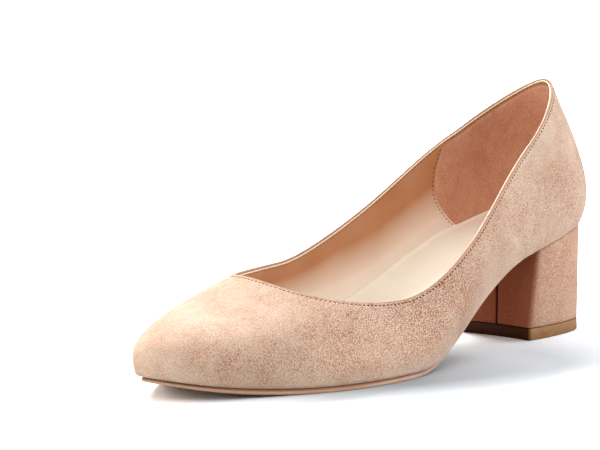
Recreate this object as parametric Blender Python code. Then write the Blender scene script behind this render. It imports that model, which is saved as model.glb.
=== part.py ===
# Block heel pump, a left shoe of about EU 38, in the five pieces that its maker puts together.
# The toe points to -Y, the outer side of the foot to +X, and the floor is Z = 0.
# Sizes are in millimetres until a mesh is made, which is in metres.
import bmesh
import bpy
import numpy as np

MM = 0.001

# Driving sizes of the last
LENGTH = 238.0  # toe tip to back of heel, seen from above, where upper and sole meet
BALL_WIDTH = 80.0  # across the ball at the same edge
SIDE_HEIGHT = 59.5  # topline over that edge at the back of the heel
HEEL_HEIGHT = 48.0  # floor to that edge at the back of the heel
SEAT_RISE = 10.4  # how much the heel seat climbs from the breast of the heel to its back
TOE_SPRING = 7.5  # how much the toe tip is lifted off the floor
FLAT_FROM = 58.0  # from the toe tip to where the forefoot starts to lie on the floor
FLAT_TO = 103.0  # from the toe tip to where the arch starts to rise
ARCH_SLOPE = 0.65  # slope of the arch where it reaches the heel, as a share of the seat's slope

# Sizes of the pieces
WALL = 1.8  # suede and lining together
GAP = 0.3  # left between pieces that touch on the real shoe
SOLE_THICKNESS = 2.1  # from the toe to the end of the flat forefoot
WAIST_THICKNESS = 1.1  # where the sole meets the breast of the heel
SOLE_INSET = 1.0  # how far the sole's edge stands in under the upper at the forefoot
WAIST_INSET = 2.6  # and along the arch
TOE_THICKNESS = 1.3  # of the sole at the toe tip
TOE_INSET = 2.2  # how far the sole stands in there
TOE_TAPER = 45.0  # from the toe tip to where the sole has its full thickness
SOLE_ROUNDING = 0.5  # taken off the sole's lower edge
INSOLE_THICKNESS = 5.8  # board, padding and sock together
HEEL_LENGTH = 43.0  # breast of the heel to back of the seat
HEEL_INSET = 0.5  # how far the block's top stands in under the upper
BREAST_HOLLOW = 1.6  # how deep the breast is hollowed in its middle
BREAST_RAKE = 1.6  # how far the breast comes forward on its way down
LIFT_WIDTH = 39.4
LIFT_LENGTH = 43.4
LIFT_SQUARENESS = 2.9  # 2 gives an oval end, more gives a squarer one
LIFT_THICKNESS = 4.9
CORNER_ROUNDING = 2.0  # on the two front corners of block and lift
EDGE_ROUNDING = 0.6  # on the lift's lower edge

# Mesh fineness
RIBS_ROUND = 104
RIB_STEPS = 12
PLATE_STATIONS = 46
PLATE_COLUMNS = 8
HEEL_POINTS = 40
BREAST_POINTS = 9
CORNER_POINTS = 4
HEEL_LEVELS = 5

# One row for each rib of the upper, from the toe tip round one side to the back of the heel.
# across, along: the rib's foot, on the edge where upper and sole meet
# top_across, top_along, top_rise: its head, on the topline, with the rise over that edge
# out_low, up_low: how it swells as it leaves its foot
# out_high, down_high: how it reaches its head
# Shares: across and out of BALL_WIDTH, along of LENGTH, rise, up and down of SIDE_HEIGHT
COLUMNS = (
    "across",
    "along",
    "top_across",
    "top_along",
    "top_rise",
    "out_low",
    "up_low",
    "out_high",
    "down_high",
)
TOE_RIB = (0.000, 0.000, -0.020, 0.242, 0.625, 0.054, 0.280, 0.545, 0.275)
OUTER_RIBS = (
    (0.196, 0.041, 0.160, 0.256, 0.572, 0.042, 0.275, 0.454, 0.265),
    (0.332, 0.136, 0.300, 0.298, 0.505, 0.038, 0.265, 0.275, 0.220),
    (0.526, 0.288, 0.407, 0.420, 0.440, 0.038, 0.220, 0.112, 0.202),
    (0.520, 0.468, 0.435, 0.552, 0.495, 0.049, 0.202, 0.061, 0.202),
    (0.384, 0.618, 0.371, 0.663, 0.545, 0.050, 0.202, 0.037, 0.202),
    (0.300, 0.820, 0.259, 0.814, 0.725, 0.070, 0.237, 0.034, 0.252),
    (0.230, 0.955, 0.200, 0.892, 0.903, 0.102, 0.276, 0.078, 0.274),
)
HEEL_RIB = (0.000, 1.000, -0.004, 0.959, 1.000, 0.110, 0.300, 0.092, 0.312)
INNER_RIBS = (
    (-0.174, 0.051, -0.165, 0.254, 0.622, 0.048, 0.270, 0.454, 0.267),
    (-0.346, 0.131, -0.300, 0.298, 0.602, 0.038, 0.265, 0.275, 0.220),
    (-0.492, 0.290, -0.431, 0.417, 0.595, 0.038, 0.220, 0.112, 0.202),
    (-0.475, 0.469, -0.441, 0.545, 0.612, 0.049, 0.202, 0.061, 0.202),
    (-0.365, 0.616, -0.382, 0.658, 0.635, 0.050, 0.202, 0.036, 0.202),
    (-0.306, 0.817, -0.286, 0.818, 0.780, 0.065, 0.237, 0.030, 0.250),
    (-0.236, 0.953, -0.200, 0.913, 0.905, 0.092, 0.277, 0.088, 0.259),
)

BREAST_AT = LENGTH - HEEL_LENGTH


def feather_height(along):
    """Height of the edge where upper and sole meet: toe spring, flat forefoot, arch and sloping seat."""
    along = np.asarray(along, float)
    low = SOLE_THICKNESS + GAP
    seat_slope = SEAT_RISE / HEEL_LENGTH
    breast_height = HEEL_HEIGHT - SEAT_RISE
    spring = np.clip((FLAT_FROM - along) / FLAT_FROM, 0.0, None)
    arch_length = BREAST_AT - FLAT_TO
    t = np.clip((along - FLAT_TO) / arch_length, 0.0, 1.0)
    rise = (3 * t**2 - 2 * t**3) * (breast_height - low)
    rise = rise + (t**3 - t**2) * ARCH_SLOPE * seat_slope * arch_length
    seat = np.clip(along - BREAST_AT, 0.0, None) * seat_slope
    return low + TOE_SPRING * spring**2 + rise + seat


def closed_spline(rows, spans, count):
    """A smooth closed curve through the rows, each column by itself, as count evenly spread rows."""
    total = len(rows)
    before = np.roll(spans, 1)
    slopes = (np.roll(rows, -1, axis=0) - rows) / spans[:, None]
    system = np.zeros((total, total))
    for row in range(total):
        system[row, row - 1] = before[row]
        system[row, row] = 2 * (before[row] + spans[row])
        system[row, (row + 1) % total] = spans[row]
    bends = np.linalg.solve(system, 6 * (slopes - np.roll(slopes, 1, axis=0)))
    starts = np.concatenate([[0.0], np.cumsum(spans)])
    at = np.linspace(0.0, starts[-1], count, endpoint=False)
    here = np.searchsorted(starts, at, side="right") - 1
    ahead = (here + 1) % total
    step = (at - starts[here])[:, None]
    span = spans[here][:, None]
    linear = slopes[here] - span * (2 * bends[here] + bends[ahead]) / 6
    cubic = (bends[ahead] - bends[here]) / (6 * span)
    return rows[here] + step * linear + step**2 * bends[here] / 2 + step**3 * cubic


def outward(ring):
    """Level outward direction at each point of a closed ring that starts at the toe and runs to +X."""
    tangent = np.roll(ring, -1, axis=0) - np.roll(ring, 1, axis=0)
    normal = np.stack([tangent[:, 1], -tangent[:, 0], np.zeros(len(ring))], axis=1)
    return normal / np.linalg.norm(normal, axis=1)[:, None]


def shell_ribs(count):
    """Control points of the ribs: foot, swell, approach and head, each a closed ring of count points."""
    shares = np.array([TOE_RIB, *OUTER_RIBS, HEEL_RIB, *reversed(INNER_RIBS)])
    sizes = {
        "across": BALL_WIDTH,
        "top_across": BALL_WIDTH,
        "out_low": BALL_WIDTH,
        "out_high": BALL_WIDTH,
        "along": LENGTH,
        "top_along": LENGTH,
        "top_rise": SIDE_HEIGHT,
        "up_low": SIDE_HEIGHT,
        "down_high": SIDE_HEIGHT,
    }
    rows = shares * np.array([sizes[column] for column in COLUMNS])
    step = np.roll(rows, -1, axis=0) - rows
    foot_span = np.linalg.norm(step[:, 0:2], axis=1)
    head_span = np.linalg.norm(step[:, 2:4], axis=1)
    across, along, top_across, top_along, top_rise, out_low, up_low, out_high, down_high = closed_spline(
        rows, foot_span + head_span, count
    ).T
    level = np.zeros(count)
    foot = np.stack([across, along, feather_height(along)], axis=1)
    head = np.stack([top_across, top_along, feather_height(top_along) + top_rise], axis=1)
    swell = foot + outward(foot) * out_low[:, None] + np.stack([level, level, up_low], axis=1)
    approach = head + outward(head) * out_high[:, None] - np.stack([level, level, down_high], axis=1)
    return foot, swell, approach, head


def shell_rings(ribs, shares):
    """Rings of the upper's outer face at the given shares of the way up its ribs."""
    foot, swell, approach, head = ribs
    s = np.asarray(shares, float)[:, None, None]
    t = 1 - s
    return t**3 * foot + 3 * t**2 * s * swell + 3 * t * s**2 * approach + s**3 * head


def shell_normals(rings):
    """Outward directions of the faces between the rings, at their points."""
    round_it = np.roll(rings, -1, axis=1) - np.roll(rings, 1, axis=1)
    up_it = np.gradient(rings, axis=0)
    normals = np.cross(round_it, up_it)
    return normals / np.linalg.norm(normals, axis=2)[:, :, None]


def centre_of(rings):
    """Middle of the shoe seen from above, which becomes the origin."""
    points = rings.reshape(-1, 3)
    middle = (points.min(axis=0) + points.max(axis=0)) / 2
    middle[2] = 0.0
    return middle


def make_object(name, mesh_data, material):
    """A Blender object from points in millimetres and faces, with merged points and faces that point out."""
    points, faces = mesh_data
    mesh = bpy.data.meshes.new(name)
    mesh.from_pydata([tuple(point * MM) for point in points], [], faces)
    work = bmesh.new()
    work.from_mesh(mesh)
    bmesh.ops.remove_doubles(work, verts=work.verts, dist=0.001 * MM)
    bmesh.ops.dissolve_degenerate(work, edges=work.edges, dist=0.001 * MM)
    bmesh.ops.recalc_face_normals(work, faces=work.faces)
    if work.calc_volume(signed=True) < 0:
        bmesh.ops.reverse_faces(work, faces=work.faces)
    work.to_mesh(mesh)
    work.free()
    mesh.materials.append(material)
    made = bpy.data.objects.new(name, mesh)
    bpy.context.scene.collection.objects.link(made)
    return made


def bridge(loops, closed_round=False):
    """Points and faces between loops of equal length; closed_round joins the last loop to the first."""
    count = len(loops[0])
    points = np.concatenate(loops)
    faces = []
    pairs = len(loops) if closed_round else len(loops) - 1
    for level in range(pairs):
        low = level * count
        high = (level + 1) % len(loops) * count
        for here in range(count):
            ahead = (here + 1) % count
            faces.append((low + here, low + ahead, high + ahead, high + here))
    return points, faces


def make_material(name, colour, roughness):
    """A plain Principled material of the piece's own colour."""
    material = bpy.data.materials.new(name)
    material.use_nodes = True
    shader = material.node_tree.nodes["Principled BSDF"]
    shader.inputs["Base Color"].default_value = (*colour, 1.0)
    shader.inputs["Roughness"].default_value = roughness
    shader.inputs["Metallic"].default_value = 0.0
    return material


# Upper: one hollow shell, open at the collar and underneath
def upper_mesh(ribs):
    shares = np.linspace(0.0, 1.0, RIB_STEPS + 1)
    outer = shell_rings(ribs, shares)
    inner = outer - shell_normals(outer) * WALL
    inner[0, :, 2] = outer[0, :, 2]
    climb = outer[-1] - outer[-2]
    climb = climb / np.linalg.norm(climb, axis=1)[:, None]
    fold = (outer[-1] + inner[-1]) / 2 + climb * WALL * 0.3
    return bridge([*outer, fold, *inner[::-1]], closed_round=True)


# Insole and outsole: plates that follow the bottom of the last
def inner_wall(ribs, height):
    """Ring of the upper's inner face at a height over the edge where upper and sole meet."""
    shares = np.linspace(0.0, 0.5, 26)
    outer = shell_rings(ribs, shares)
    ring = np.empty((outer.shape[1], 3))
    for rib in range(outer.shape[1]):
        over_edge = outer[:, rib, 2] - outer[0, rib, 2]
        for axis in range(3):
            ring[rib, axis] = np.interp(height, over_edge, outer[:, rib, axis])
    return ring - outward(ring) * WALL


def side_curves(ring):
    """The ring's two sides as across against along, each from the toe to the heel."""
    back = int(np.argmax(ring[:, 1]))
    front = int(np.argmin(ring[:, 1]))
    turned = np.roll(ring, -front, axis=0)
    back = (back - front) % len(ring)
    outer = turned[: back + 1]
    inner = np.concatenate([turned[back:], turned[:1]])[::-1]
    return outer, inner


def plate_layer(ring, height_over_edge, end=None):
    """A grid of points over the ring's inside; end cuts it off there, hollowed as the breast."""
    outer, inner = side_curves(ring)
    first = outer[0, 1]
    last = outer[-1, 1] if end is None else end
    t = np.linspace(0.0, 1.0, PLATE_STATIONS + 1)
    share = (1 - np.cos(np.pi * t)) / 2 if end is None else 1 - np.cos(np.pi * t / 2)
    columns = np.linspace(-1.0, 1.0, PLATE_COLUMNS + 1)
    grid = np.empty((len(share), len(columns), 3))
    for column, side in enumerate(columns):
        hollow = 0.0 if end is None else BREAST_HOLLOW * (1 - side**2) * share**6
        along = first + (last - first) * share + hollow
        curve = outer if side > 0 else inner
        grid[:, column, 0] = abs(side) * np.interp(along, curve[:, 1], curve[:, 0])
        grid[:, column, 1] = along
        grid[:, column, 2] = feather_height(along) + height_over_edge
    tip = np.interp(0.5, [0.0, 1.0], [outer[0, 0], inner[0, 0]])
    grid[0, :, 0] = tip
    if end is None:
        grid[-1, :, 0] = outer[-1, 0]
    return grid


def plate_mesh(layers):
    """A closed plate from grids, lowest first: its two faces are whole grids, its edge is their borders."""
    rows, columns = layers[0].shape[:2]
    number = np.arange(rows * columns).reshape(rows, columns)
    border = np.concatenate([number[0, :], number[1:, -1], number[-1, -2::-1], number[-2:0:-1, 0]])
    points = np.concatenate([layer.reshape(-1, 3) for layer in layers])
    faces = []
    for row in range(rows - 1):
        for column in range(columns - 1):
            here = int(number[row, column])
            quad = (here, here + 1, here + columns + 1, here + columns)
            top = (len(layers) - 1) * rows * columns
            faces.append(quad[::-1])
            faces.append(tuple(corner + top for corner in quad))
    for level in range(len(layers) - 1):
        low = level * rows * columns
        high = low + rows * columns
        for here in range(len(border)):
            ahead = (here + 1) % len(border)
            start = int(border[here])
            stop = int(border[ahead])
            faces.append((start + low, stop + low, stop + high, start + high))
    used = sorted({corner for face in faces for corner in face})
    new_number = {old: new for new, old in enumerate(used)}
    faces = [tuple(new_number[corner] for corner in face) for face in faces]
    return points[used], faces


def waist_share(along):
    """How far the sole has passed from its forefoot to its thinner waist, from 0 to 1."""
    t = np.clip((along - FLAT_TO) / (BREAST_AT - FLAT_TO), 0.0, 1.0)
    return 1 - (1 - t) ** 2


def toe_share(along):
    """How far the sole has thinned from its forefoot to the toe tip, from 0 to 1."""
    return np.clip(1 - np.asarray(along) / TOE_TAPER, 0.0, 1.0) ** 2


def insole_mesh(ribs):
    foot_ring = inner_wall(ribs, 0.0)
    head_ring = inner_wall(ribs, INSOLE_THICKNESS)
    layers = []
    for ring, height in ((foot_ring, 0.0), (head_ring, INSOLE_THICKNESS)):
        layers.append(plate_layer(ring - outward(ring) * GAP, height))
    return plate_mesh(layers)


def outsole_mesh(ribs):
    inset = SOLE_INSET + (WAIST_INSET - SOLE_INSET) * waist_share(ribs[0][:, 1])
    inset = inset + (TOE_INSET - SOLE_INSET) * toe_share(ribs[0][:, 1])
    edge = ribs[0] - outward(ribs[0]) * inset[:, None]
    rounded = ribs[0] - outward(ribs[0]) * (inset + SOLE_ROUNDING)[:, None]
    end = BREAST_AT - GAP
    layers = [plate_layer(rounded, -GAP, end), plate_layer(edge, -GAP, end), plate_layer(edge, -GAP, end)]
    for layer, kept in zip(layers, (0.0, SOLE_ROUNDING)):
        thickness = SOLE_THICKNESS + (WAIST_THICKNESS - SOLE_THICKNESS) * waist_share(layer[:, :, 1])
        thickness = thickness + (TOE_THICKNESS - SOLE_THICKNESS) * toe_share(layer[:, :, 1])
        layer[:, :, 2] -= thickness - kept
    return plate_mesh(layers)


# Heel block and top lift: stacked outlines with a rounded back and a hollowed breast
def evenly_along(curve, count):
    """The curve as count points, evenly spread by its length."""
    steps = np.linalg.norm(np.diff(curve, axis=0), axis=1)
    run = np.concatenate([[0.0], np.cumsum(steps)])
    at = np.linspace(0.0, run[-1], count)
    return np.stack([np.interp(at, run, curve[:, axis]) for axis in range(2)], axis=1)


def rounded_corner(before, corner, after):
    """Points of a small arc that takes the place of a corner."""
    start = corner + (before - corner) * CORNER_ROUNDING / np.linalg.norm(before - corner)
    stop = corner + (after - corner) * CORNER_ROUNDING / np.linalg.norm(after - corner)
    t = np.linspace(0.0, 1.0, CORNER_POINTS)[:, None]
    return (1 - t) ** 2 * start + 2 * t * (1 - t) * corner + t**2 * stop


def close_with_breast(curve):
    """Adds the hollowed breast between the curve's two ends."""
    start = curve[-1]
    stop = curve[0]
    t = np.linspace(0.0, 1.0, BREAST_POINTS + 2)[:, None]
    breast = start + (stop - start) * t
    breast[:, 1] += BREAST_HOLLOW * (1 - (2 * t[:, 0] - 1) ** 2)
    first = rounded_corner(breast[-2], stop, curve[1])
    last = rounded_corner(curve[-2], start, breast[1])
    return np.concatenate([first, curve[1:-1], last, breast[1:-1]])


def seat_outline(ribs):
    """Outline of the block's top, from the upper's own edge behind the breast."""
    ring = ribs[0] - outward(ribs[0]) * HEEL_INSET
    outer, inner = side_curves(ring)
    sides = []
    for curve in (outer, inner):
        along = np.concatenate([[BREAST_AT], curve[curve[:, 1] > BREAST_AT, 1]])
        sides.append(np.stack([np.interp(along, curve[:, 1], curve[:, 0]), along], axis=1))
    return close_with_breast(evenly_along(np.concatenate([sides[0], sides[1][-2::-1]]), HEEL_POINTS))


def lift_outline(inset=0.0):
    """Outline of the top lift: straight breast and a squared oval back."""
    angle = np.linspace(0.0, np.pi, 181)
    power = 2 / LIFT_SQUARENESS
    across = (LIFT_WIDTH / 2 - inset) * np.sign(np.cos(angle)) * np.abs(np.cos(angle)) ** power
    along = inset + (LIFT_LENGTH - 2 * inset) * np.sin(angle) ** power
    curve = np.stack([across, along + BREAST_AT - BREAST_RAKE], axis=1)
    return close_with_breast(evenly_along(curve, HEEL_POINTS))


def stack_mesh(levels):
    """A closed block from outlines with heights, lowest first."""
    loops = [np.column_stack([outline, heights]) for outline, heights in levels]
    points, faces = bridge(loops)
    count = len(loops[0])
    faces.append(tuple(range(count - 1, -1, -1)))
    faces.append(tuple(range(len(points) - count, len(points))))
    return points, faces


def heel_mesh(ribs):
    top = seat_outline(ribs)
    foot = lift_outline()
    low = LIFT_THICKNESS + GAP
    seat = HEEL_HEIGHT - SEAT_RISE * (LENGTH - top[:, 1]) / HEEL_LENGTH - GAP
    levels = []
    for share in np.linspace(0.0, 1.0, HEEL_LEVELS):
        levels.append((foot + (top - foot) * share, low + (seat - low) * share))
    return stack_mesh(levels)


def lift_mesh():
    outline = lift_outline()
    level = np.zeros(len(outline))
    bottom = (lift_outline(EDGE_ROUNDING), level)
    side = (outline, level + EDGE_ROUNDING)
    top = (outline, level + LIFT_THICKNESS)
    return stack_mesh([bottom, side, top])


for old in list(bpy.data.objects):
    bpy.data.objects.remove(old)

RIBS = shell_ribs(RIBS_ROUND)
FINE_RIBS = shell_ribs(RIBS_ROUND * 8)
CENTRE = centre_of(shell_rings(RIBS, np.linspace(0.0, 1.0, RIB_STEPS + 1)))

SUEDE = make_material("suede", (0.68, 0.45, 0.31), 0.95)
SOCK = make_material("sock", (0.80, 0.68, 0.52), 0.55)
SOLE = make_material("sole", (0.45, 0.27, 0.15), 0.45)
COVER = make_material("heel_cover", (0.60, 0.38, 0.27), 0.95)
RUBBER = make_material("lift", (0.36, 0.27, 0.13), 0.5)

PIECES = (
    ("upper", upper_mesh(RIBS), SUEDE),
    ("insole", insole_mesh(RIBS), SOCK),
    ("outsole", outsole_mesh(RIBS), SOLE),
    ("heel", heel_mesh(FINE_RIBS), COVER),
    ("top_lift", lift_mesh(), RUBBER),
)
for piece_name, (piece_points, piece_faces), piece_material in PIECES:
    make_object(piece_name, (piece_points - CENTRE, piece_faces), piece_material)
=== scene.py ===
import math

import bpy
import numpy as np
from mathutils import Matrix, Vector


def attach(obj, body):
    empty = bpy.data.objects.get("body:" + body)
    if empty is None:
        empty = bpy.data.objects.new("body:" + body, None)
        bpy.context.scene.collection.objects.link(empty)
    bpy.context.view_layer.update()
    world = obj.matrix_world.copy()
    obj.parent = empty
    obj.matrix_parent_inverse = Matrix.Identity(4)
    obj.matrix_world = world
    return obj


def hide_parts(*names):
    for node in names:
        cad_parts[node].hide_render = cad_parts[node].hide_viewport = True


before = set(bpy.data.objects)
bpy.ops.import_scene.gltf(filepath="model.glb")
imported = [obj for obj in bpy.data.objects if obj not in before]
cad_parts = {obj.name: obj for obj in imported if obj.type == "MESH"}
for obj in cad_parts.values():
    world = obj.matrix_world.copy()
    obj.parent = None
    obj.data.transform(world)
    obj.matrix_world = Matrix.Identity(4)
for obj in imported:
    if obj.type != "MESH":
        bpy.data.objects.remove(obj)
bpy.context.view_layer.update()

# Upper
# One hide of beige suede, lasted over the last and turned under to the sole.
# Its edge at the collar is folded in and sewn down, which leaves a row of pinholes below the fold.
MM = 0.001
LENGTH = 238.0  # toe tip to back of heel, where upper and sole meet
BALL_WIDTH = 80.0
SIDE_HEIGHT = 59.5
HEEL_HEIGHT = 48.0
HEEL_LENGTH = 43.0
SEAT_RISE = 10.4
TOE_SPRING = 7.5
FLAT_FROM = 58.0
FLAT_TO = 103.0
ARCH_SLOPE = 0.65
SOLE_THICKNESS = 2.1
GAP = 0.3
WALL = 1.8  # suede and lining together
BREAST_AT = LENGTH - HEEL_LENGTH
CAD_RIBS = 104  # of the solid, whose box gives the origin
CAD_STEPS = 13
RIBS_ROUND = 520
RUN_SAMPLES = 161
SUEDE_LEVELS = 46
FIRST_SHARE = 0.02  # of the way up the ribs, where the face starts over the turned edge
SUEDE_THICKNESS = 1.07  # doubled where it is folded
FOLD_REACH = 2.4  # from the top of the collar to where the suede's hidden back starts
PINHOLE_DROP = 1.2  # from the top of the collar to the pinholes
PINHOLE_GROOVE = 0.16
GROOVE_WIDTH = 0.35
COLLAR_DROPS = (2.4, 2.0, 1.7, 1.4, 1.2, 1.0, 0.8, 0.5, 0.25, 0.0)
COLLAR_FOLD = (  # inward from the face, up from the edge
    (0.04, 0.14),
    (0.16, 0.32),
    (0.36, 0.45),
    (0.58, 0.49),
    (0.80, 0.43),
    (0.97, 0.26),
    (1.05, 0.00),
    (1.07, -0.50),
    (1.07, -1.20),
)
CREASE_FADE = 9.0  # from the collar, where the creases die out
# side, along and up of both ends, width and depth; up is over the edge where upper and sole meet
CREASES = (
    (1, 213.0, 20.0, 218.0, 33.0, 3.6, 0.34),
    (1, 222.0, 24.0, 224.0, 38.0, 3.0, 0.26),
    (1, 146.0, 15.0, 196.0, 17.0, 8.0, 0.45),
    (1, 74.0, 19.0, 106.0, 12.0, 5.5, 0.26),
    (1, 58.0, 14.0, 84.0, 7.0, 4.5, 0.20),
    (-1, 140.0, 16.0, 192.0, 18.0, 8.0, 0.45),
    (-1, 72.0, 20.0, 102.0, 12.0, 5.5, 0.26),
    (-1, 214.0, 22.0, 219.0, 35.0, 3.6, 0.30),
)
SOLE_TURN = (  # inward from the edge over the sole, up from it
    (7.00, -0.20),
    (2.60, -0.19),
    (1.40, -0.16),
    (0.80, -0.08),
    (0.40, 0.08),
    (0.16, 0.34),
)

# One row for each rib: across, along, top across, top along, top rise, then how it leaves and arrives
TOE_RIB = (0.000, 0.000, -0.020, 0.242, 0.625, 0.054, 0.280, 0.545, 0.275)
OUTER_RIBS = (
    (0.196, 0.041, 0.160, 0.256, 0.572, 0.042, 0.275, 0.454, 0.265),
    (0.332, 0.136, 0.300, 0.298, 0.505, 0.038, 0.265, 0.275, 0.220),
    (0.526, 0.288, 0.407, 0.420, 0.440, 0.038, 0.220, 0.112, 0.202),
    (0.520, 0.468, 0.435, 0.552, 0.495, 0.049, 0.202, 0.061, 0.202),
    (0.384, 0.618, 0.371, 0.663, 0.545, 0.050, 0.202, 0.037, 0.202),
    (0.300, 0.820, 0.259, 0.814, 0.725, 0.070, 0.237, 0.034, 0.252),
    (0.230, 0.955, 0.200, 0.892, 0.903, 0.102, 0.276, 0.078, 0.274),
)
HEEL_RIB = (0.000, 1.000, -0.004, 0.959, 1.000, 0.110, 0.300, 0.092, 0.312)
INNER_RIBS = (
    (-0.174, 0.051, -0.165, 0.254, 0.622, 0.048, 0.270, 0.454, 0.267),
    (-0.346, 0.131, -0.300, 0.298, 0.602, 0.038, 0.265, 0.275, 0.220),
    (-0.492, 0.290, -0.431, 0.417, 0.595, 0.038, 0.220, 0.112, 0.202),
    (-0.475, 0.469, -0.441, 0.545, 0.612, 0.049, 0.202, 0.061, 0.202),
    (-0.365, 0.616, -0.382, 0.658, 0.635, 0.050, 0.202, 0.036, 0.202),
    (-0.306, 0.817, -0.286, 0.818, 0.780, 0.065, 0.237, 0.030, 0.250),
    (-0.236, 0.953, -0.200, 0.913, 0.905, 0.092, 0.277, 0.088, 0.259),
)
RIB_SCALE = (BALL_WIDTH, LENGTH, BALL_WIDTH, LENGTH, SIDE_HEIGHT, *(BALL_WIDTH, SIDE_HEIGHT) * 2)


def feather_height(along):
    """Height of the edge where upper and sole meet: toe spring, flat forefoot, arch and sloping seat."""
    along = np.asarray(along, float)
    low = SOLE_THICKNESS + GAP
    seat_slope = SEAT_RISE / HEEL_LENGTH
    spring = np.clip((FLAT_FROM - along) / FLAT_FROM, 0.0, None)
    arch_length = BREAST_AT - FLAT_TO
    t = np.clip((along - FLAT_TO) / arch_length, 0.0, 1.0)
    rise = (3 * t**2 - 2 * t**3) * (HEEL_HEIGHT - SEAT_RISE - low)
    rise = rise + (t**3 - t**2) * ARCH_SLOPE * seat_slope * arch_length
    seat = np.clip(along - BREAST_AT, 0.0, None) * seat_slope
    return low + TOE_SPRING * spring**2 + rise + seat


def closed_spline(rows, spans, count):
    """A smooth closed curve through the rows, each column by itself, as count evenly spread rows."""
    total = len(rows)
    before = np.roll(spans, 1)
    slopes = (np.roll(rows, -1, axis=0) - rows) / spans[:, None]
    system = np.zeros((total, total))
    for row in range(total):
        system[row, row - 1] = before[row]
        system[row, row] = 2 * (before[row] + spans[row])
        system[row, (row + 1) % total] = spans[row]
    bends = np.linalg.solve(system, 6 * (slopes - np.roll(slopes, 1, axis=0)))
    starts = np.concatenate([[0.0], np.cumsum(spans)])
    at = np.linspace(0.0, starts[-1], count, endpoint=False)
    here = np.searchsorted(starts, at, side="right") - 1
    ahead = (here + 1) % total
    step = (at - starts[here])[:, None]
    span = spans[here][:, None]
    linear = slopes[here] - span * (2 * bends[here] + bends[ahead]) / 6
    cubic = (bends[ahead] - bends[here]) / (6 * span)
    return rows[here] + step * linear + step**2 * bends[here] / 2 + step**3 * cubic


def outward(ring):
    """Level outward direction at each point of a closed ring that starts at the toe and runs to +X."""
    tangent = np.roll(ring, -1, axis=0) - np.roll(ring, 1, axis=0)
    normal = np.stack([tangent[:, 1], -tangent[:, 0], np.zeros(len(ring))], axis=1)
    return normal / np.linalg.norm(normal, axis=1)[:, None]


def shell_ribs(count):
    """Foot, swell, approach and head of the ribs of the upper, each a closed ring of count points."""
    rows = np.array([TOE_RIB, *OUTER_RIBS, HEEL_RIB, *reversed(INNER_RIBS)]) * np.array(RIB_SCALE)
    step = np.roll(rows, -1, axis=0) - rows
    spans = np.linalg.norm(step[:, 0:2], axis=1) + np.linalg.norm(step[:, 2:4], axis=1)
    across, along, top_across, top_along, top_rise, out_low, up_low, out_high, down_high = closed_spline(
        rows, spans, count
    ).T
    level = np.zeros(count)
    foot = np.stack([across, along, feather_height(along)], axis=1)
    head = np.stack([top_across, top_along, feather_height(top_along) + top_rise], axis=1)
    swell = foot + outward(foot) * out_low[:, None] + np.stack([level, level, up_low], axis=1)
    approach = head + outward(head) * out_high[:, None] - np.stack([level, level, down_high], axis=1)
    return foot, swell, approach, head


def shell_rings(ribs, shares):
    """Rings of the upper's outer face; shares has a row for each ring and a column for each rib."""
    foot, swell, approach, head = ribs
    s = np.broadcast_to(np.asarray(shares, float), (len(shares), len(foot)))[:, :, None]
    t = 1 - s
    return t**3 * foot + 3 * t**2 * s * swell + 3 * t * s**2 * approach + s**3 * head


def shell_normals(ribs, shares):
    """Outward directions of the upper's outer face at the same rings."""
    foot, swell, approach, head = ribs
    s = np.broadcast_to(np.asarray(shares, float), (len(shares), len(foot)))[:, :, None]
    t = 1 - s
    up_it = t**2 * (swell - foot) + 2 * t * s * (approach - swell) + s**2 * (head - approach)
    rings = shell_rings(ribs, shares)
    round_it = np.roll(rings, -1, axis=1) - np.roll(rings, 1, axis=1)
    normals = np.cross(round_it, up_it)
    return normals / np.linalg.norm(normals, axis=2)[:, :, None]


def measured_rings(ribs, shares):
    """Rings at the given shares, with the length along each rib from the first of them."""
    rings = shell_rings(ribs, shares[:, None])
    runs = np.concatenate([np.zeros((1, rings.shape[1])), np.linalg.norm(np.diff(rings, axis=0), axis=2)])
    return rings, np.cumsum(runs, axis=0)


def shares_at_drop(ribs, drops):
    """Shares of the ribs that lie the given lengths down from the collar, measured along each rib."""
    shares = np.linspace(1.0, 0.0, RUN_SAMPLES)
    rings, runs = measured_rings(ribs, shares)
    drops = np.broadcast_to(np.asarray(drops, float), (len(drops), rings.shape[1]))
    found = np.empty(drops.shape)
    for rib in range(rings.shape[1]):
        found[:, rib] = np.interp(drops[:, rib], runs[:, rib], shares)
    return found


def drops_at_height(ribs, height):
    """How far down each rib is at a height over the edge where upper and sole meet."""
    rings, runs = measured_rings(ribs, np.linspace(0.0, 1.0, RUN_SAMPLES))
    rises = rings[:, :, 2] - rings[0, :, 2]
    found = np.empty(rings.shape[1])
    for rib in range(rings.shape[1]):
        top = int(np.argmax(rises[:, rib]))
        found[rib] = runs[-1, rib] - np.interp(height, rises[: top + 1, rib], runs[: top + 1, rib])
    return found


def collar_rings(ribs, profile):
    """Rings that follow the collar at the given steps inward from the face and up from the edge."""
    head = ribs[3]
    climb = head - ribs[2]
    climb = climb / np.linalg.norm(climb, axis=1)[:, None]
    out = shell_normals(ribs, np.ones((1, 1)))[0]
    return [head - out * inward + climb * rise for inward, rise in profile]


def band(low, high):
    """Faces between two rings of point numbers."""
    return np.stack([low, np.roll(low, -1), np.roll(high, -1), high], axis=1).tolist()


def bridge(loops, closed_round=False):
    """Points and faces between loops of equal length; closed_round joins the last loop to the first."""
    rings = np.arange(len(loops) * len(loops[0])).reshape(len(loops), -1)
    if closed_round:
        rings = np.concatenate([rings, rings[:1]])
    return np.concatenate(loops), [face for pair in zip(rings, rings[1:]) for face in band(*pair)]


def signed_volume(points, faces):
    """Volume in front of the faces, negative where they point inwards."""
    total = 0.0
    for face in faces:
        corners = points[face]
        for second in range(1, len(face) - 1):
            total += np.dot(corners[0], np.cross(corners[second], corners[second + 1]))
    return total / 6


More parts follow.
